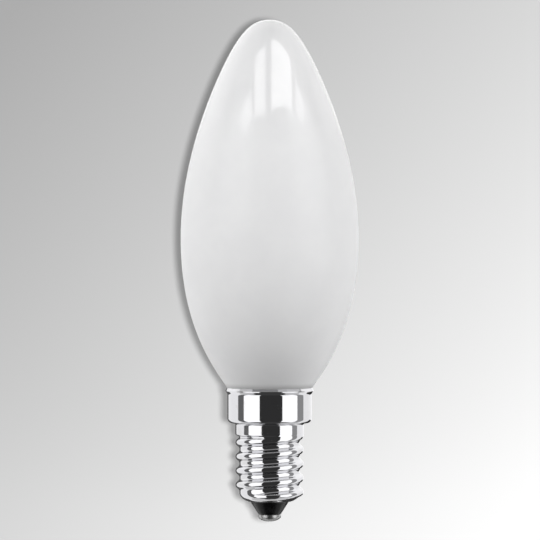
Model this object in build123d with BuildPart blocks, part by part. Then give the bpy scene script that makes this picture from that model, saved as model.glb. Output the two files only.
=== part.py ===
# Candle bulb on a small Edison screw cap, in millimetres.
# +Z runs up the lamp's axis and z = 0 is the lowest point of the centre contact.
import os
from math import cos, pi, radians, sin, sqrt, tan

from build123d import *

os.makedirs("parts", exist_ok=True)

# Blown glass
glass_diameter = 35.4
lip_to_widest = 29.6  # height of the widest ring above the cap's lip
lip_to_tip = 73.3
belly_run_down = 18.1  # how far the widest ring's upright run carries down, then up
belly_run_up = 22.0
shoulder_pull_radius = 7.7  # point beside the curve that draws in the candle shoulder
shoulder_pull_drop = 8.6
tip_run = 7.1
seat_angle = 32.0  # slope of the glass where it sits in the lip
seat_run = 3.5
glass_wall = 0.7
neck_depth = 6.4  # closed foot of the neck below the lip
neck_round = 1.6
throat_round = 1.2

# Cap pressed from plated sheet, with a small Edison thread rolled into it
sheet = 0.3
crest_diameter = 13.6
thread_depth = 0.8
thread_pitch = 2.822
first_crest = 1.9  # height above the cap's end of the crest on the +X side
root_land = 0.03  # the plain core stands this much proud of the rolled roots
band_proud = 0.03  # the plain band stands this much proud of the crests
threaded_length = 12.95
band_height = 2.7
skirt_diameter = 16.8
skirt_height = 6.3
lip_height = 0.7
rim_height = 0.55  # upright edge of the rolled rim around the lip
rim_proud = 0.43  # rim past the skirt
rim_round = 0.2
end_angle = 25.0  # slope of the cap's end from the flat up to the thread
end_round = 1.5
end_flat_diameter = 8.2
end_hole_diameter = 8.0
band_round = 0.7
shoulder_round = 0.35
skirt_round = 0.9
lip_round = 0.7

# Black glass insulator
cone_height = 2.45
cone_top_diameter = 7.7
cone_foot_diameter = 4.56
plug_diameter = 10.4
plug_height = 2.2

# Centre contact
contact_diameter = 4.6
contact_height = 1.5
contact_edge = 0.35
pin_diameter = 1.8
pin_stand = 0.6  # pin past the insulator's inner face

# Cement between the neck and the skirt
cement_wall = 1.1
cement_height = 3.6

# Levels and radii that follow
z_cap = contact_height + cone_height
z_band = z_cap + threaded_length
z_shoulder = z_band + band_height
z_bend = z_shoulder + skirt_height
z_lip = z_bend + lip_height
z_crest = z_cap + first_crest - thread_pitch
turns = (z_shoulder - z_crest) / thread_pitch
knuckle = (thread_pitch**2 / 4 + thread_depth**2) / (4 * thread_depth)
crest = crest_diameter / 2
root = crest - thread_depth
core = root + root_land
band = crest + band_proud
skirt = skirt_diameter / 2
step = skirt - band  # width of the step from the band out to the skirt, which its two rounds share
step_inner_round = min(shoulder_round, step / 3)
step_outer_round = min(skirt_round, step * 3 / 5)
slope = radians(seat_angle)
seat = skirt + lip_height * tan(slope) - sheet / cos(slope)
z_widest = z_lip + lip_to_widest
z_tip = z_lip + lip_to_tip
widest = glass_diameter / 2
neck = skirt - sheet - cement_wall
z_foot = z_lip - neck_depth
z_throat = z_lip - (seat - neck) / tan(slope)
end_slope = radians(end_angle)
end_flat = end_flat_diameter / 2


def knuckleSection(inset):
    # one rolled crest and its hollow flanks, set in by the sheet for the inner side
    share = 1 - inset / knuckle
    flank = crest - knuckle + (knuckle - thread_depth / 2) * share
    turn = thread_pitch / 4 * share
    end = thread_pitch / 2 - 4 * root_land
    middle = (turn + end) / 2
    foot = root + knuckle - sqrt((knuckle + inset) ** 2 - (thread_pitch / 2 - end) ** 2)
    bend = root + knuckle - sqrt((knuckle + inset) ** 2 - (thread_pitch / 2 - middle) ** 2)
    with BuildSketch(Plane.XZ) as section:
        with BuildLine():
            ThreePointArc((flank, z_crest - turn), (crest - inset, z_crest), (flank, z_crest + turn))
            ThreePointArc((flank, z_crest + turn), (bend, z_crest + middle), (foot, z_crest + end))
            Polyline(
                (foot, z_crest + end),
                (foot - sheet, z_crest + end),
                (foot - sheet, z_crest - end),
                (foot, z_crest - end),
            )
            ThreePointArc((foot, z_crest - end), (bend, z_crest - middle), (flank, z_crest - turn))
        make_face()
    return section.sketch


def capForm(inset):
    # the cap filled out to its outer face, or set in by the sheet to its inner face
    top = lip_height + inset
    z_turn = z_cap + (band - end_flat) * tan(end_slope)
    with BuildLine() as climb:
        Helix(thread_pitch, thread_pitch * turns, crest, center=(0, 0, z_crest))
    with BuildPart() as form:
        with BuildSketch(Plane.XY.offset(z_cap + inset)):
            Circle(core - inset)
        extrude(amount=threaded_length + sheet)
        sweep(knuckleSection(inset), path=climb.line, is_frenet=True)
        with BuildSketch(Plane.XZ):
            with BuildLine():
                FilletPolyline(
                    (end_flat - inset * tan(end_slope / 2), z_cap + inset),
                    (band - inset, z_turn + inset * tan(pi / 4 - end_slope / 2)),
                    (band - inset, z_lip),
                    radius=end_round - inset,
                )
                Polyline(
                    (band - inset, z_lip),
                    (0, z_lip),
                    (0, z_cap + inset),
                    (end_flat - inset * tan(end_slope / 2), z_cap + inset),
                )
            make_face()
        revolve(axis=Axis.Z, mode=Mode.INTERSECT)
        with BuildSketch(Plane.XZ):
            with BuildLine():
                FilletPolyline(
                    (0, z_band + inset),
                    (band - inset, z_band + inset),
                    (band - inset, z_shoulder + inset),
                    (skirt - inset, z_shoulder + inset),
                    (skirt - inset, z_bend + inset * tan(slope / 2)),
                    (skirt + top * tan(slope) - inset / cos(slope), z_bend + top),
                    radius=(band_round - inset, step_inner_round + inset, step_outer_round - inset, lip_round + inset),
                )
                Polyline(
                    (skirt + top * tan(slope) - inset / cos(slope), z_bend + top),
                    (0, z_bend + top),
                    (0, z_band + inset),
                )
            make_face()
        revolve(axis=Axis.Z)
    return form.part


def glassOutline(inset):
    # half outline of the glass, closed on the axis, set in by the wall for its inner side
    rim = (seat - inset * cos(slope), z_lip + inset * sin(slope))
    belly = widest - inset
    tip = z_tip - inset
    pull = inset / sqrt(2)
    FilletPolyline(
        (0, z_foot + inset),
        (neck - inset, z_foot + inset),
        (neck - inset, z_throat + inset * tan(slope / 2)),
        rim,
        radius=(neck_round - inset, throat_round + inset),
    )
    Bezier(
        rim,
        (rim[0] + seat_run * sin(slope), rim[1] + seat_run * cos(slope)),
        (belly, z_widest - belly_run_down),
        (belly, z_widest),
    )
    Bezier(
        (belly, z_widest),
        (belly, z_widest + belly_run_up),
        (shoulder_pull_radius - pull, z_tip - shoulder_pull_drop - pull),
        (tip_run - inset, tip),
        (0, tip),
    )
    Line((0, tip), (0, z_foot + inset))


# Glass envelope, blown as one thin wall and sealed at the foot of its neck
with BuildPart() as glass_envelope:
    with BuildSketch(Plane.XZ):
        with BuildLine():
            glassOutline(0)
        make_face()
    revolve(axis=Axis.Z)
    with BuildSketch(Plane.XZ):
        with BuildLine():
            glassOutline(glass_wall)
        make_face()
    revolve(axis=Axis.Z, mode=Mode.SUBTRACT)
glass_envelope.part.label = "glass_envelope"
export_step(glass_envelope.part, "parts/glass_envelope.step")

# Cap shell: plain end, thread, band, skirt and flared lip in one pressing
with BuildPart() as cap_shell:
    add(capForm(0))
    add(capForm(sheet), mode=Mode.SUBTRACT)
    with BuildSketch(Plane.XY.offset(z_cap - sheet)):
        Circle(end_hole_diameter / 2)
    extrude(amount=3 * sheet, mode=Mode.SUBTRACT)
    with BuildSketch(Plane.XZ):
        with BuildLine():
            FilletPolyline(
                (skirt, z_lip - rim_height - rim_proud),
                (skirt + rim_proud, z_lip - rim_height),
                (skirt + rim_proud, z_lip),
                (seat, z_lip),
                radius=(rim_round / 2, rim_round),
            )
            Polyline(
                (seat, z_lip),
                (seat - rim_height * tan(slope), z_lip - rim_height),
                (skirt - sheet / 2, z_lip - rim_height - rim_proud),
                (skirt, z_lip - rim_height - rim_proud),
            )
        make_face()
    revolve(axis=Axis.Z)
cap_shell.part.label = "cap_shell"
export_step(cap_shell.part, "parts/cap_shell.step")

# Insulator: cone outside, and a plug moulded against the inside of the cap's end
z_plug = z_cap + sheet
z_inner = z_plug + plug_height
plug = plug_diameter / 2
plug_foot = end_flat - sheet * tan(end_slope / 2)
z_side = z_plug + (plug - plug_foot) * tan(end_slope)
with BuildPart() as insulator:
    with BuildSketch(Plane.XZ):
        with BuildLine():
            Polyline(
                (pin_diameter / 2, contact_height),
                (cone_foot_diameter / 2, contact_height),
                (cone_top_diameter / 2, z_cap),
                (end_hole_diameter / 2, z_cap),
                (end_hole_diameter / 2, z_plug),
                (plug_foot, z_plug),
                (plug, z_side),
                (plug, z_inner),
                (pin_diameter / 2, z_inner),
                (pin_diameter / 2, contact_height),
            )
        make_face()
    revolve(axis=Axis.Z)
insulator.part.label = "insulator"
export_step(insulator.part, "parts/insulator.step")

# Centre contact: domed head on a pin through the insulator
with BuildPart() as centre_contact:
    with BuildSketch(Plane.XZ):
        with BuildLine():
            Polyline(
                (contact_diameter / 2, contact_height - contact_edge),
                (contact_diameter / 2, contact_height),
                (pin_diameter / 2, contact_height),
                (pin_diameter / 2, z_inner + pin_stand),
                (0, z_inner + pin_stand),
                (0, 0),
            )
            EllipticalCenterArc(
                (0, contact_height - contact_edge),
                contact_diameter / 2,
                contact_height - contact_edge,
                start_angle=270,
                arc_size=90,
            )
        make_face()
    revolve(axis=Axis.Z)
centre_contact.part.label = "centre_contact"
export_step(centre_contact.part, "parts/centre_contact.step")

# Capping cement: ring that holds the neck in the skirt
with BuildPart() as capping_cement:
    with BuildSketch(Plane.XY.offset(z_bend - lip_round)):
        Circle(skirt - sheet)
    extrude(amount=-cement_height)
    with BuildSketch(Plane.XZ):
        with BuildLine():
            glassOutline(0)
        make_face()
    revolve(axis=Axis.Z, mode=Mode.SUBTRACT)
capping_cement.part.label = "capping_cement"
export_step(capping_cement.part, "parts/capping_cement.step")
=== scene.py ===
from math import cos, floor, pi, radians, sin, sqrt, tan

import bpy
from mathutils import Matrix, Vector


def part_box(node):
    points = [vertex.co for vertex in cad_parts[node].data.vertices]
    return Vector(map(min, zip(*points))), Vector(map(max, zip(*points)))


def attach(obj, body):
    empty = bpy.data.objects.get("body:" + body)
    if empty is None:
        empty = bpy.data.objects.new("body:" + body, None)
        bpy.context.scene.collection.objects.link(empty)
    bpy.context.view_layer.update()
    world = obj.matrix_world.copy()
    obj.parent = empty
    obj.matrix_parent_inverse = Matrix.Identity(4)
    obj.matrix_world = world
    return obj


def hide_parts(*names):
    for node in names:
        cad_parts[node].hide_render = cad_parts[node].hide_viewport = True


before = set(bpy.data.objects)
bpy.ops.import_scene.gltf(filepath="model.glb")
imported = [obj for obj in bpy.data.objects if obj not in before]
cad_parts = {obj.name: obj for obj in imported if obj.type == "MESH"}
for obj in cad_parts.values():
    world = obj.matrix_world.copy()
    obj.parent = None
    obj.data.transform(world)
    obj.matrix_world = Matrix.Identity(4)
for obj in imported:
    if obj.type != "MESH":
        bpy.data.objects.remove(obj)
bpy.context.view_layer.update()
mm = 0.001  # sizes below are in millimetres, in the frame of the CAD model
white = (1, 1, 1, 1)
black = (0, 0, 0, 1)
upright = (pi / 2, 0, 0)  # stands a flat plane up, and turns a camera from looking down to level
print("frame loaded:", ", ".join(sorted(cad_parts)))


def lowOf(node):
    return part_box(node)[0].z / mm


def highOf(node):
    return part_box(node)[1].z / mm


def eased(share):
    share = min(1.0, max(0.0, share))
    return share * share * (3 - 2 * share)


# Outlines and lathe work

lathe = {
    "longRun": 0.45, "closeRow": 0.06,  # a straight run past this gets a close row at each end
    "weld": 0.002,
}


def bezierPoint(points, share):
    while len(points) > 1:
        points = [p.lerp(q, share) for p, q in zip(points, points[1:])]
    return points[0]


def bezierRun(points, count):
    points = [Vector(p) for p in points]
    return [bezierPoint(points, i / count) for i in range(1, count + 1)]


def roundCorner(before, corner, after, radius, count):
    corner = Vector(corner)
    back = (Vector(before) - corner).normalized()
    on = (Vector(after) - corner).normalized()
    half = back.angle(on) / 2
    centre = corner + (back + on).normalized() * radius / sin(half)
    start = corner + back * radius / tan(half) - centre
    end = corner + on * radius / tan(half) - centre
    return [centre + start.slerp(end, i / count) * radius for i in range(count + 1)]


def holdRuns(outline):
    # the close rows keep the shading of a long run straight
    held = [Vector(outline[0])]
    for point in outline[1:]:
        point = Vector(point)
        run = point - held[-1]
        if run.length > lathe["longRun"]:
            step = run.normalized() * lathe["closeRow"]
            held += [held[-1] + step, point - step]
        held.append(point)
    return held


def spinOutline(name, outline, steps):
    # one vertex of a plane is drawn out along the half outline, then spun about the axis
    bpy.ops.object.select_all(action="DESELECT")
    bpy.ops.mesh.primitive_plane_add(size=mm)
    piece = bpy.context.object
    piece.name = piece.data.name = name
    bpy.ops.object.mode_set(mode="EDIT")
    bpy.ops.mesh.select_all(action="SELECT")
    bpy.ops.mesh.merge(type="CENTER")
    last = Vector((0, 0))
    for index, point in enumerate(outline):
        point = Vector(point)
        move = (point - last) * mm
        shift = {"value": (move.x, 0, move.y)}
        if index == 0:
            bpy.ops.transform.translate(**shift)
        else:
            bpy.ops.mesh.extrude_vertices_move(TRANSFORM_OT_translate=shift)
        last = point
    bpy.ops.mesh.select_all(action="SELECT")
    bpy.ops.mesh.spin(steps=steps, angle=2 * pi, center=(0, 0, 0), axis=(0, 0, 1))
    bpy.ops.mesh.select_all(action="SELECT")
    bpy.ops.mesh.remove_doubles(threshold=lathe["weld"] * mm)
    bpy.ops.mesh.normals_make_consistent(inside=False)
    bpy.ops.object.mode_set(mode="OBJECT")
    return piece


def turnOut(piece):
    bpy.context.view_layer.objects.active = piece
    bpy.ops.object.mode_set(mode="EDIT")
    bpy.ops.mesh.select_all(action="SELECT")
    bpy.ops.mesh.flip_normals()
    bpy.ops.object.mode_set(mode="OBJECT")


def smoothPiece(piece, angle):
    bpy.ops.object.select_all(action="DESELECT")
    piece.select_set(True)
    bpy.context.view_layer.objects.active = piece
    bpy.ops.object.shade_smooth_by_angle(angle=radians(angle))


def standIn(piece, node, material):
    piece.data.materials.clear()
    piece.data.materials.append(material)
    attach(piece, "root")
    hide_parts(node)
    print("made", piece.name, len(piece.data.polygons), "faces")


# Glass: outer face of the blown envelope, from the closed foot of the neck to the tip

glass = {
    "widest": 17.7, "widestAboveLip": 29.6, "runDown": 18.1, "runUp": 22.0,
    "pullRadius": 7.7, "pullDrop": 8.6, "tipRun": 7.1,
    "seat": 8.484, "seatAngle": 32.0, "seatRun": 3.5,
    "neck": 7.0, "neckRound": 1.6, "neckRows": 6, "throatRound": 1.2, "throatRows": 5,
    "lowerRows": 40, "upperRows": 64, "steps": 192, "smoothAngle": 60.0,
}


def makeGlass(material):
    foot = lowOf("glass_envelope")
    tip = highOf("glass_envelope")
    lip = highOf("cap_shell")
    slope = radians(glass["seatAngle"])
    widest = (glass["widest"], lip + glass["widestAboveLip"])
    seat = (glass["seat"], lip)
    throat = (glass["neck"], lip - (glass["seat"] - glass["neck"]) / tan(slope))
    middle = (0, foot)
    corner = (glass["neck"], foot)
    outline = [middle]
    outline += roundCorner(middle, corner, throat, glass["neckRound"], glass["neckRows"])
    outline += roundCorner(corner, throat, seat, glass["throatRound"], glass["throatRows"])
    outline.append(seat)
    outline += bezierRun(
        [
            seat,
            (seat[0] + glass["seatRun"] * sin(slope), lip + glass["seatRun"] * cos(slope)),
            (widest[0], widest[1] - glass["runDown"]),
            widest,
        ],
        glass["lowerRows"],
    )
    outline += bezierRun(
        [
            widest,
            (widest[0], widest[1] + glass["runUp"]),
            (glass["pullRadius"], tip - glass["pullDrop"]),
            (glass["tipRun"], tip),
            (0, tip),
        ],
        glass["upperRows"],
    )
    piece = spinOutline("glass_candle", outline, glass["steps"])
    smoothPiece(piece, glass["smoothAngle"])
    standIn(piece, "glass_envelope", material)
    return piece


# Cap: thread, band, skirt and flared lip in one pressed sheet

cap = {
    "sheet": 0.3, "crest": 6.8, "depth": 0.8, "pitch": 2.822, "firstCrest": 1.9,
    "runOut": -0.42, "runFull": -0.2,  # turns over which the first crest dies away
    "hole": 4.0, "endFlat": 3.85, "endRise": 1.7, "endPower": 1.8,
    "endGap": 0.02, "closeRise": 0.9, "closeRows": 18,  # closer rows where the end turns in
    "threaded": 12.95, "rowHeight": 0.1,
    "band": 6.83, "bandHeight": 2.7, "bandRound": 0.75, "bandDrop": 0.2,
    "shoulderRound": 0.35, "shoulderRows": 6, "skirt": 8.4, "skirtRound": 0.9, "skirtRows": 10,
    "cove": 0.5, "coveRows": 8, "flare": 0.6,
    "lip": 8.83, "lipFall": 0.6, "lipRound": 0.2, "lipRows": 8, "lipSeat": 8.5,
    "margin": 0.01, "steps": 160, "smoothAngle": 50.0,
}


def knuckleRise(height, turn):
    # rolled wave of two tangent arcs, crest out and root in, climbing with the turn
    pitch = cap["pitch"]
    depth = cap["depth"]
    knuckle = (pitch**2 / 4 + depth**2) / (4 * depth)
    share = (height - cap["firstCrest"]) / pitch - turn / (2 * pi)
    nearest = floor(share + 0.5)
    along = abs(share - nearest) * pitch  # distance from the nearest crest
    if along < pitch / 4:
        rise = depth - knuckle + sqrt(knuckle**2 - along**2)
    else:
        rise = knuckle - sqrt(knuckle**2 - (pitch / 2 - along) ** 2)
    wound = nearest + turn / (2 * pi)
    return rise * eased((wound - cap["runOut"]) / (cap["runFull"] - cap["runOut"]))


def rootRadius(height):
    # plain core, rounded in to the hole at the cap's end
    drop = max(0.0, 1 - height / cap["endRise"])
    share = (1 - drop ** cap["endPower"]) ** (1 / cap["endPower"])
    return cap["endFlat"] + (cap["crest"] - cap["depth"] - cap["endFlat"]) * share


def bandShare(height):
    # how far the rolled wave has run out into the plain band
    return eased((height - cap["threaded"] + cap["bandDrop"]) / cap["bandRound"])


def capOutline(base):
    # up to the band's top the radii are only a start, which rollThread then sets
    outline = []
    for row in range(cap["closeRows"] + 1):
        rise = cap["endGap"] + cap["closeRise"] * (row / cap["closeRows"]) ** 2
        outline.append((cap["hole"], base + rise))
    low = outline[-1][1]
    bandTop = base + cap["threaded"] + cap["bandRound"]
    rows = round((bandTop - low) / cap["rowHeight"])
    for row in range(1, rows + 1):
        outline.append((cap["band"], low + (bandTop - low) * row / rows))
    shoulder = base + cap["threaded"] + cap["bandHeight"]
    top = highOf("cap_shell")
    inner = (cap["band"], shoulder)
    outer = (cap["skirt"], shoulder)
    edge = (cap["lip"], top - cap["lipFall"])
    bend = (cap["skirt"], edge[1] - cap["flare"])
    seat = (cap["lipSeat"], top)
    outline += roundCorner(outline[-1], inner, outer, cap["shoulderRound"], cap["shoulderRows"])
    outline += roundCorner(inner, outer, bend, cap["skirtRound"], cap["skirtRows"])
    outline += roundCorner(outer, bend, edge, cap["cove"], cap["coveRows"])
    outline += roundCorner(bend, edge, seat, cap["lipRound"], cap["lipRows"])
    outline.append(seat)
    return holdRuns(outline)


def rollThread(piece, base):
    # the rings below the band's top go out to the rolled wave
    highest = cap["threaded"] + cap["bandRound"] + cap["margin"]
    for vertex in piece.data.vertices:
        height = vertex.co.z / mm - base
        if not cap["margin"] < height < highest:
            continue
        flat = vertex.co.xy
        turn = -Vector((1, 0)).angle_signed(flat)
        radius = rootRadius(height) + knuckleRise(height, turn)
        radius += (cap["band"] - radius) * bandShare(height)
        vertex.co.xy = flat.normalized() * radius * mm


def makeCap(material):
    base = lowOf("cap_shell")
    piece = spinOutline("cap_screw", capOutline(base), cap["steps"])
    rollThread(piece, base)
    widest = max(piece.data.polygons, key=lambda face: face.center.xy.length)
    if widest.normal.xy.dot(widest.center.xy) < 0:
        turnOut(piece)
    sheet = piece.modifiers.new("sheet", "SOLIDIFY")
    sheet.thickness = cap["sheet"] * mm
    sheet.offset = -1  # all of the thickness goes inwards
    sheet.use_even_offset = True
    bpy.context.view_layer.objects.active = piece
    bpy.ops.object.modifier_apply(modifier=sheet.name)
    smoothPiece(piece, cap["smoothAngle"])
    standIn(piece, "cap_shell", material)


# Insulator: moulded black glass cone with its plug inside the cap's end

cone = {
    "foot": 2.28, "footRound": 0.18, "footRows": 5, "top": 3.85, "topRound": 0.1, "topRows": 4,
    "holeGap": 0.01, "plugGap": 0.02,  # clear of the cap's hole, and of its end inside
    "plug": 5.2, "plugAngle": 25.0, "plugRound": 0.3, "plugRows": 4,
    "pin": 0.9, "steps": 96, "smoothAngle": 40.0,
}


def makeInsulator(material):
    low = lowOf("insulator")
    high = highOf("insulator")
    end = lowOf("cap_shell")
    start = (cone["pin"], low)
    foot = (cone["foot"], low)
    top = (cone["top"], end)
    neck = (cap["hole"] - cone["holeGap"], end)
    shelf = end + cap["sheet"] + cone["plugGap"]
    plug = cone["plug"] - cone["plugGap"]
    side = (plug, shelf + (plug - neck[0]) * tan(radians(cone["plugAngle"])))
    inner = (cone["pin"], high)
    outline = [start]
    outline += roundCorner(start, foot, top, cone["footRound"], cone["footRows"])
    outline += roundCorner(foot, top, neck, cone["topRound"], cone["topRows"])
    outline += [neck, (neck[0], shelf), side]
    outline += roundCorner(side, (plug, high), inner, cone["plugRound"], cone["plugRows"])
    outline += [inner, start]
    piece = spinOutline("insulator_cone", holdRuns(outline), cone["steps"])
    smoothPiece(piece, cone["smoothAngle"])
    standIn(piece, "insulator", material)


# Contact: tinned button on a pin through the insulator

button = {
    "radius": 2.3, "fullness": 2.1, "rows": 24, "edge": 0.35, "edgeRound": 0.26, "edgeRows": 5,
    "pinGap": 0.01, "steps": 96, "smoothAngle": 40.0,
}


def makeContact(material):
    high = highOf("centre_contact")
    top = lowOf("insulator")
    deep = top - button["edge"]
    power = 2 / button["fullness"]
    outline = []
    for row in range(button["rows"] + 1):
        turn = pi / 2 * row / button["rows"]
        across = button["radius"] * sin(turn) ** power
        outline.append((across, deep - deep * max(0.0, cos(turn)) ** power))
    rim = (button["radius"], top)
    pin = cone["pin"] - button["pinGap"]
    outline += roundCorner(outline[-1], rim, (pin, top), button["edgeRound"], button["edgeRows"])
    outline += [(pin, top), (pin, high), (0, high)]
    piece = spinOutline("contact_button", holdRuns(outline), button["steps"])
    smoothPiece(piece, button["smoothAngle"])
    standIn(piece, "centre_contact", material)


# Node helpers

def setSockets(tree, node, sockets):
    for socket, value in sockets.items():
        if isinstance(value, bpy.types.NodeSocket):
            tree.links.new(value, node.inputs[socket])
        else:
            node.inputs[socket].default_value = value


def addNode(tree, kind, sockets=None, **settings):
    node = tree.nodes.new(kind)
    for name, value in settings.items():
        setattr(node, name, value)
    setSockets(tree, node, sockets or {})
    return node


def newMaterial(name):
    material = bpy.data.materials.new(name)
    material.use_nodes = True
    material.node_tree.nodes.clear()
    return material, material.node_tree


def toSurface(tree, shader):
    addNode(tree, "ShaderNodeOutputMaterial", {"Surface": shader.outputs[0]})


def objectPlace(tree):
    return addNode(tree, "ShaderNodeTexCoord").outputs["Object"]


def calc(tree, operation, first, second=0.0):
    return addNode(tree, "ShaderNodeMath", {0: first, 1: second}, operation=operation).outputs[0]


def smoothStep(tree, value, low, high, fromValue=0.0, toValue=1.0):
    sockets = {"Value": value, "From Min": low, "From Max": high}
    sockets |= {"To Min": fromValue, "To Max": toValue}
    return addNode(tree, "ShaderNodeMapRange", sockets, interpolation_type="SMOOTHSTEP").outputs[0]


def mixValue(tree, share, first, second):
    return addNode(tree, "ShaderNodeMix", {0: share, 2: first, 3: second}).outputs[0]


def mixColour(tree, share, first, second):
    mixed = addNode(tree, "ShaderNodeMix", {0: share}, data_type="RGBA")
    setSockets(tree, mixed, {6: first, 7: second})  # the colour sockets of this node
    return mixed.outputs[2]


def mixSum(tree, base, *parts):
    # base plus each mask times its share
    for mask, share in parts:
        base = calc(tree, "ADD", calc(tree, "MULTIPLY", mask, share), base)
    return base


# Finishes

handling = {
    "lineStretch": (0.06, 0.06, 1.0),  # drawn out sideways, so that lines run round the axis
    "smudgeDetail": 4.0, "smudgeRange": (0.46, 0.72), "lineDetail": 2.0, "lineRange": (0.3, 0.7),
    "fineShare": 0.6,
}


def cloudy(tree, place, scale, detail):
    sockets = {"Vector": place, "Scale": scale, "Detail": detail, "Roughness": handling["fineShare"]}
    return addNode(tree, "ShaderNodeTexNoise", sockets).outputs[0]


def handlingMarks():
    # soft smudges and fine lines, with their sizes in millimetres
    group = bpy.data.node_groups.new("handling_marks", "ShaderNodeTree")
    group.interface.new_socket("Place", in_out="INPUT", socket_type="NodeSocketVector")
    group.interface.new_socket("Smudge Size", in_out="INPUT", socket_type="NodeSocketFloat")
    group.interface.new_socket("Line Size", in_out="INPUT", socket_type="NodeSocketFloat")
    group.interface.new_socket("Smudges", in_out="OUTPUT", socket_type="NodeSocketFloat")
    group.interface.new_socket("Lines", in_out="OUTPUT", socket_type="NodeSocketFloat")
    given = addNode(group, "NodeGroupInput").outputs
    sockets = {0: given["Place"], 1: handling["lineStretch"]}
    drawnOut = addNode(group, "ShaderNodeVectorMath", sockets, operation="MULTIPLY").outputs[0]
    smudgeScale = calc(group, "DIVIDE", 1 / mm, given["Smudge Size"])
    lineScale = calc(group, "DIVIDE", 1 / mm, given["Line Size"])
    smudges = cloudy(group, given["Place"], smudgeScale, handling["smudgeDetail"])
    lines = cloudy(group, drawnOut, lineScale, handling["lineDetail"])
    addNode(group, "NodeGroupOutput", {
        "Smudges": smoothStep(group, smudges, *handling["smudgeRange"]),
        "Lines": smoothStep(group, lines, *handling["lineRange"]),
    })
    return group


marks = handlingMarks()


def addMarks(tree, place, look):
    sockets = {"Place": place, "Smudge Size": look["smudgeSize"], "Line Size": look["lineSize"]}
    return addNode(tree, "ShaderNodeGroup", sockets, node_tree=marks).outputs


def wornGloss(tree, touched, look):
    worn = (touched["Smudges"], look["smudge"]), (touched["Lines"], look["line"])
    return mixSum(tree, look["gloss"], *worn)


def raised(tree, height, look):
    sockets = {"Height": height, "Distance": look["relief"] * mm, "Strength": look["bump"]}
    return addNode(tree, "ShaderNodeBump", sockets).outputs[0]


opal = {
    "white": (0.91, 0.91, 0.915, 1), "thin": (0.885, 0.885, 0.893, 1),
    "cloudSize": 9.0, "cloudDetail": 3.0, "cloudRange": (0.3, 0.7),
    "gloss": 0.06, "satin": 0.5, "specular": 0.2,
    "satinBelow": 72.0, "glossAbove": 83.0,  # heights between which the tip's full gloss comes in
    "rimBelow": 34.0, "rimAbove": 62.0, "rimGloss": 0.3,
    "lip": 26.4, "lipShade": 1.4, "paintedLipShade": (0.54, 0.54, 0.54, 1),
    "smudgeSize": 14.0, "lineSize": 3.0, "smudge": 0.12,
}


def opalGlass():
    # white powder coat inside clear glass: thicker and thinner by turns, with painted shade on the
    # glass just above the lip
    material, tree = newMaterial("opal_glass")
    place = objectPlace(tree)
    height = addNode(tree, "ShaderNodeSeparateXYZ", {0: place}).outputs["Z"]
    touched = addMarks(tree, place, opal)
    clouds = cloudy(tree, place, 1 / (opal["cloudSize"] * mm), opal["cloudDetail"])
    coat = smoothStep(tree, clouds, *opal["cloudRange"])
    tone = mixColour(tree, coat, opal["white"], opal["thin"])
    # painted shade: the glass colour turns grey just above the lip, where shade falls
    above = smoothStep(tree, height, opal["lip"] * mm, (opal["lip"] + opal["lipShade"]) * mm)
    tone = mixColour(tree, above, opal["paintedLipShade"], tone)
    tipGloss = 1 - opal["rimGloss"]
    tip = smoothStep(tree, height, opal["satinBelow"] * mm, opal["glossAbove"] * mm, 0.0, tipGloss)
    rim = smoothStep(tree, height, opal["rimBelow"] * mm, opal["rimAbove"] * mm, 0.0, opal["rimGloss"])
    clean = mixSum(tree, 1.0, (touched["Smudges"], -opal["smudge"]))
    gloss = calc(tree, "MULTIPLY", calc(tree, "ADD", tip, rim), clean)
    skin = addNode(tree, "ShaderNodeBsdfPrincipled", {
        "Base Color": tone, "Roughness": opal["satin"], "Specular IOR Level": opal["specular"],
        "Coat Weight": gloss, "Coat Roughness": opal["gloss"],
    })
    toSurface(tree, skin)
    return material


nickel = {
    "bright": (0.65, 0.65, 0.67, 1), "dull": (0.57, 0.56, 0.55, 1), "dullShare": 0.4,
    "gloss": 0.04, "smudge": 0.05, "line": 0.015, "relief": 0.0006, "bump": 0.5,
    "smudgeSize": 3.2, "lineSize": 0.14,
}


def brightNickel():
    # plating with faint drawing lines round the cap, dulled a little where it was held
    material, tree = newMaterial("bright_nickel")
    touched = addMarks(tree, objectPlace(tree), nickel)
    dulled = calc(tree, "MULTIPLY", touched["Smudges"], nickel["dullShare"])
    metal = addNode(tree, "ShaderNodeBsdfPrincipled", {
        "Base Color": mixColour(tree, dulled, nickel["bright"], nickel["dull"]), "Metallic": 1.0,
        "Roughness": wornGloss(tree, touched, nickel),
        "Normal": raised(tree, touched["Lines"], nickel),
    })
    toSurface(tree, metal)
    return material


insulatorGlass = {
    "black": (0.004, 0.004, 0.005, 1), "grey": (0.012, 0.012, 0.013, 1),
    "gloss": 0.2, "smudge": 0.1, "line": 0.04, "specular": 0.2, "bloom": 0.6, "bloomSpread": 0.3,
    "relief": 0.004, "bump": 0.4, "smudgeSize": 1.6, "lineSize": 0.3,
}


def blackGlass():
    # pressed glass with a slightly cloudy fire skin
    material, tree = newMaterial("black_glass")
    look = insulatorGlass
    touched = addMarks(tree, objectPlace(tree), look)
    skin = addNode(tree, "ShaderNodeBsdfPrincipled", {
        "Base Color": mixColour(tree, touched["Smudges"], look["black"], look["grey"]),
        "Roughness": wornGloss(tree, touched, look), "Specular IOR Level": look["specular"],
        "Sheen Weight": look["bloom"], "Sheen Roughness": look["bloomSpread"],
        "Normal": raised(tree, touched["Smudges"], look),
    })
    toSurface(tree, skin)
    return material


tin = {
    "bright": (0.4, 0.4, 0.4, 1), "dull": (0.25, 0.245, 0.24, 1),
    "gloss": 0.26, "smudge": 0.12, "line": 0.05, "relief": 0.006, "bump": 0.5,
    "smudgeSize": 0.9, "lineSize": 0.2,
}


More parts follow.
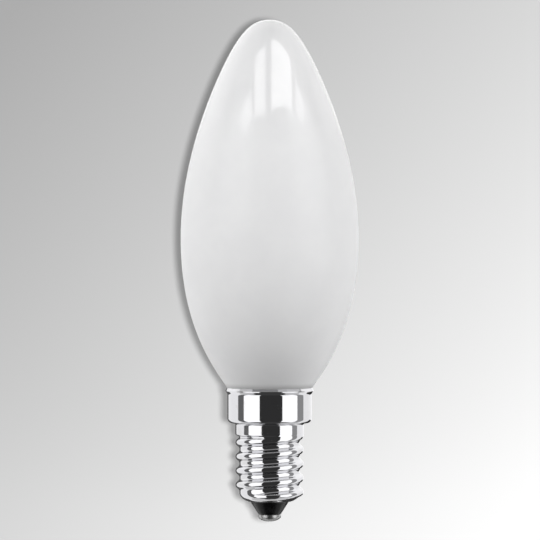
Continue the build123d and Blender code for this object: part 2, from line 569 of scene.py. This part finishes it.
def tinnedContact():
    # dipped solder, mottled as it set
    material, tree = newMaterial("tinned_contact")
    touched = addMarks(tree, objectPlace(tree), tin)
    metal = addNode(tree, "ShaderNodeBsdfPrincipled", {
        "Base Color": mixColour(tree, touched["Smudges"], tin["bright"], tin["dull"]), "Metallic": 1.0,
        "Roughness": wornGloss(tree, touched, tin),
        "Normal": raised(tree, touched["Smudges"], tin),
    })
    toSurface(tree, metal)
    return material


putty = {
    "pale": (0.6, 0.53, 0.4, 1), "baked": (0.42, 0.34, 0.23, 1),
    "gloss": 0.8, "smudge": 0.15, "grain": 0.25, "grainDetail": 5.0, "relief": 0.03, "bump": 0.6,
    "smudgeSize": 2.2, "lineSize": 0.5,
}


def cappingPutty():
    # dry grainy cement, browner where it baked
    material, tree = newMaterial("capping_putty")
    place = objectPlace(tree)
    touched = addMarks(tree, place, putty)
    grain = cloudy(tree, place, 1 / (putty["grain"] * mm), putty["grainDetail"])
    skin = addNode(tree, "ShaderNodeBsdfPrincipled", {
        "Base Color": mixColour(tree, touched["Smudges"], putty["pale"], putty["baked"]),
        "Roughness": mixSum(tree, putty["gloss"], (touched["Smudges"], putty["smudge"])),
        "Normal": raised(tree, grain, putty),
    })
    toSurface(tree, skin)
    return material


def finishNode(name, material):
    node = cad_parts[name]
    for slot in node.material_slots:
        slot.material = material
    print("finished", name)


candle = makeGlass(opalGlass())
makeCap(brightNickel())
makeInsulator(blackGlass())
makeContact(tinnedContact())
finishNode("capping_cement", cappingPutty())
print("pieces done")


# Camera: level, at the photograph's view

view = {
    "distance": 600.0, "height": 50.06, "aside": 0.08, "across": 107.57,
    "sensor": 36.0, "clip": 10.0,
}


def makeCamera():
    place = Vector((view["aside"], -view["distance"], view["height"]))
    bpy.ops.object.camera_add(location=place * mm, rotation=upright)
    camera = bpy.context.object
    camera.data.sensor_width = view["sensor"]
    camera.data.lens = view["sensor"] * view["distance"] / view["across"]
    camera.data.clip_start = view["clip"] * mm
    bpy.context.scene.camera = camera


# Studio: soft boxes that light the white glass, and the panels that bright metal mirrors
# A panel has two azimuths, left and right of the camera side, two elevations, in degrees, and a level

studio = {
    "soft": {
        "leftStrip": (-121, -75, -24, 8, 4.03),
        "upperLeft": (-60, -35, 18, 54, 3.68),
        "rightBox": (45, 130, -27, -7, 3.64),
        "lowFront": (-22, 43, -51, -21, 3.51),
        "overhead": (-33, 56, 48, 110, 3.7),
        "leftBehind": (-200, -105, -60, 90, 0.42),
        "rightBehind": (105, 200, -60, 90, 0.42),
    },
    "softEdge": 12.0,
    "mirrored": {  # a later panel covers an earlier one
        "frontGap": (-27.4, 35.4, -60, 42, 0.04),
        "leftBox": (-75, -27.4, -45, 41, 1.6),
        "rightBox": (35.4, 82, -45, 41, 1.6),
        "leftFlag": (-96, -75, -60, 60, 0.16),
        "rightFlag": (82, 106, -60, 60, 0.36),
        "leftWall": (-200, -96, -45, 75, 1.15),
        "rightWall": (106, 200, -45, 75, 1.15),
        "leftLow": (-200, -148, -38, -8, 0.05),
        "rightLow": (140, 200, -38, -8, 0.05),
        "leftUnder": (-200, -75, -75, -45, 0.75),
        "rightUnder": (75, 200, -75, -45, 0.75),
        "frontFloor": (-70, 70, -95, -47, 0.06),
        "darkFloor": (-200, 200, -95, -75, 0.06),
        "frontUpper": (30, 60, 48, 63, 0.62),
        "leftUpper": (-112, -60, 36, 80, 0.75),
        "rightUpper": (60, 112, 36, 80, 0.75),
        "leftAbove": (-200, -110, 15, 80, 1.3),
        "rightAbove": (110, 200, 15, 80, 1.3),
    },
    "mirroredEdge": 1.5, "around": 0.3,
    "paperRise": (-20, 25), "paperTones": (0.84, 0.5),  # what the camera sees past the stage
}


def panelMask(tree, turn, rise, panel, edge):
    left, right, low, high, level = panel
    half = edge / 2
    mask = 1.0
    for way, first, last in ((turn, left, right), (rise, low, high)):
        mask = calc(tree, "MULTIPLY", smoothStep(tree, way, first - half, first + half), mask)
        mask = calc(tree, "MULTIPLY", smoothStep(tree, way, last - half, last + half, 1.0, 0.0), mask)
    return mask, level


def makeStudio():
    world = bpy.data.worlds.new("studio")
    bpy.context.scene.world = world
    world.use_nodes = True
    tree = world.node_tree
    tree.nodes.clear()
    way = addNode(tree, "ShaderNodeTexCoord").outputs["Generated"]
    right, back, up = addNode(tree, "ShaderNodeSeparateXYZ", {0: way}).outputs
    turn = calc(tree, "DEGREES", calc(tree, "ARCTAN2", right, calc(tree, "MULTIPLY", back, -1.0)))
    rise = calc(tree, "DEGREES", calc(tree, "ARCSINE", up))
    mirrored = studio["around"]
    for panel in studio["mirrored"].values():
        mask, level = panelMask(tree, turn, rise, panel, studio["mirroredEdge"])
        mirrored = mixValue(tree, mask, mirrored, level)
    softBoxes = studio["soft"].values()
    soft = [panelMask(tree, turn, rise, panel, studio["softEdge"]) for panel in softBoxes]
    path = addNode(tree, "ShaderNodeLightPath").outputs
    strength = mixValue(tree, path["Is Glossy Ray"], mixSum(tree, 0.0, *soft), mirrored)
    paper = smoothStep(tree, rise, *studio["paperRise"], *studio["paperTones"])
    strength = mixValue(tree, path["Is Camera Ray"], strength, paper)
    sky = addNode(tree, "ShaderNodeBackground", {"Color": white, "Strength": strength})
    addNode(tree, "ShaderNodeOutputWorld", {"Surface": sky.outputs[0]})


streaks = {  # panes of light that only the glass mirrors
    "right": {"centre": (298, -378, 657), "tilt": -15.5, "size": (540, 405), "level": 4.2},
    "left": {"centre": (-200, -422, 603), "tilt": 8.6, "size": (233, 364), "level": 3.7},
    "lowLeft": {"centre": (-490, -480, 600), "tilt": 0.0, "size": (260, 200), "level": 2.6},
    "lowRight": {"centre": (625, -300, 600), "tilt": 0.0, "size": (190, 210), "level": 2.6},
}


def makeStreaks(piece):
    mirrors = bpy.data.collections.new("streak_mirrors")
    mirrors.objects.link(piece)
    for name, pane in streaks.items():
        turned = (0, radians(pane["tilt"]), 0)
        bpy.ops.object.light_add(type="AREA", location=Vector(pane["centre"]) * mm, rotation=turned)
        lamp = bpy.context.object
        lamp.name = name + "_streak"
        across, along = Vector(pane["size"]) * mm
        lamp.data.shape = "RECTANGLE"
        lamp.data.size = across
        lamp.data.size_y = along
        lamp.data.energy = pane["level"] * pi * across * along
        lamp.visible_camera = lamp.visible_diffuse = False
        lamp.light_linking.receiver_collection = mirrors


# Stage: pale card behind, which takes the shadow, a pale floor, and a dark sheet beside the cap for a
# painted reflection

def farOut(tree, place):
    return addNode(tree, "ShaderNodeVectorMath", {0: place}, operation="LENGTH").outputs["Value"]


def fadedStage(name, colour, look):
    # painted glow in the tone plus the light falling on it; gone from behind and past its edge
    material, tree = newMaterial(name)
    place = objectPlace(tree)
    tone = colour(tree, place)
    path = addNode(tree, "ShaderNodeLightPath").outputs
    level = mixValue(tree, path["Is Camera Ray"], look["glow"] * look["echo"], look["glow"])
    paintedGlow = addNode(tree, "ShaderNodeEmission", {"Color": tone, "Strength": level})
    pale = mixColour(tree, look["albedo"], black, tone)
    paper = addNode(tree, "ShaderNodeBsdfDiffuse", {"Color": pale})
    seen = addNode(tree, "ShaderNodeAddShader", {0: paintedGlow.outputs[0], 1: paper.outputs[0]})
    there = smoothStep(tree, farOut(tree, place), look["fadeFrom"] * mm, look["fadeTo"] * mm, 1.0, 0.0)
    rear = addNode(tree, "ShaderNodeNewGeometry").outputs["Backfacing"]
    there = calc(tree, "MULTIPLY", there, calc(tree, "SUBTRACT", 1.0, rear))
    clear = addNode(tree, "ShaderNodeBsdfTransparent")
    whole = addNode(tree, "ShaderNodeMixShader", {0: there, 1: clear.outputs[0], 2: seen.outputs[0]})
    toSurface(tree, whole)
    return material


card = {
    "behind": 120.0, "size": 1100.0, "fadeFrom": 380.0, "fadeTo": 500.0,
    "tones": (0.6745, 0.992), "contrast": 2.25, "reach": 123.1,
    "glow": 0.4, "albedo": 0.12, "echo": 1.0,  # echo is the share of the glow that lights other things
}


def cardTone(tree, place):
    # painted light: the glow is dimmer at the upper left corner and brighter at the lower right
    across = addNode(tree, "ShaderNodeSeparateXYZ", {0: place}).outputs
    along = calc(tree, "SUBTRACT", across["X"], across["Y"])
    sockets = {"Value": along, "From Min": -card["reach"] * mm, "From Max": card["reach"] * mm}
    sockets |= {"To Min": card["tones"][0], "To Max": card["tones"][1]}
    tone = addNode(tree, "ShaderNodeMapRange", sockets).outputs[0]
    return calc(tree, "POWER", tone, card["contrast"])


ground = {
    "level": -16.0, "size": 260.0, "fadeFrom": 80.0, "fadeTo": 112.0,
    "tones": (0.8, 0.86), "glow": 0.6, "albedo": 0.4, "echo": 0.1,
}


def floorTone(tree, place):
    return smoothStep(tree, farOut(tree, place), 0.0, ground["fadeTo"] * mm, *ground["tones"])


shade = {"level": 94.2, "aside": 7.55, "down": 0.97, "radius": 4.65}


def makeShade(backdrop):
    # lamp close beside the camera that throws the shadow on the card, and lights nothing else
    place = Vector((shade["aside"], -view["distance"], view["height"] - shade["down"]))
    bpy.ops.object.light_add(type="POINT", location=place * mm)
    lamp = bpy.context.object
    lamp.name = "card_lamp"
    lamp.data.energy = shade["level"]
    lamp.data.shadow_soft_size = shade["radius"] * mm
    lit = bpy.data.collections.new("card_lamp_only")
    lit.objects.link(backdrop)
    lamp.light_linking.receiver_collection = lit


def makeStage():
    place = Vector((0, card["behind"], view["height"]))
    bpy.ops.mesh.primitive_plane_add(size=card["size"] * mm, location=place * mm, rotation=upright)
    backdrop = bpy.context.object
    backdrop.name = "backdrop"
    backdrop.data.materials.append(fadedStage("pale_card", cardTone, card))
    backdrop.visible_diffuse = False
    bpy.ops.mesh.primitive_plane_add(size=ground["size"] * mm, location=(0, 0, ground["level"] * mm))
    floorSheet = bpy.context.object
    floorSheet.name = "ground"
    floorSheet.data.materials.append(fadedStage("pale_floor", floorTone, ground))
    for piece in (backdrop, floorSheet):
        piece.visible_glossy = False
    makeShade(backdrop)


# painted reflection: a dark sheet that only glossy rays see
darkMirrorSheet = {"left": -19.0, "right": -6.9, "low": -9.0, "high": 29.5, "behind": 19.0, "tone": 0.12}


def makeDarkMirrorSheet():
    # painted reflection: a dark sheet that bright metal mirrors as a dark edge; nothing else sees it
    material, tree = newMaterial("painted_dark_reflection")
    toSurface(tree, addNode(tree, "ShaderNodeEmission", {"Color": white, "Strength": darkMirrorSheet["tone"]}))
    across = (darkMirrorSheet["left"] + darkMirrorSheet["right"]) / 2
    height = (darkMirrorSheet["low"] + darkMirrorSheet["high"]) / 2
    place = Vector((across, darkMirrorSheet["behind"], height))
    bpy.ops.mesh.primitive_plane_add(size=mm, location=place * mm, rotation=upright)
    strip = bpy.context.object
    strip.name = "darkMirrorSheet"
    strip.scale = (darkMirrorSheet["right"] - darkMirrorSheet["left"], darkMirrorSheet["high"] - darkMirrorSheet["low"], 1)
    strip.data.materials.append(material)
    strip.visible_camera = strip.visible_diffuse = False
    strip.visible_transmission = strip.visible_shadow = False


makeStudio()
makeStreaks(candle)
makeStage()
makeDarkMirrorSheet()
print("studio and stage done")
makeCamera()
bpy.context.scene.view_settings.view_transform = "Standard"
print("camera set")
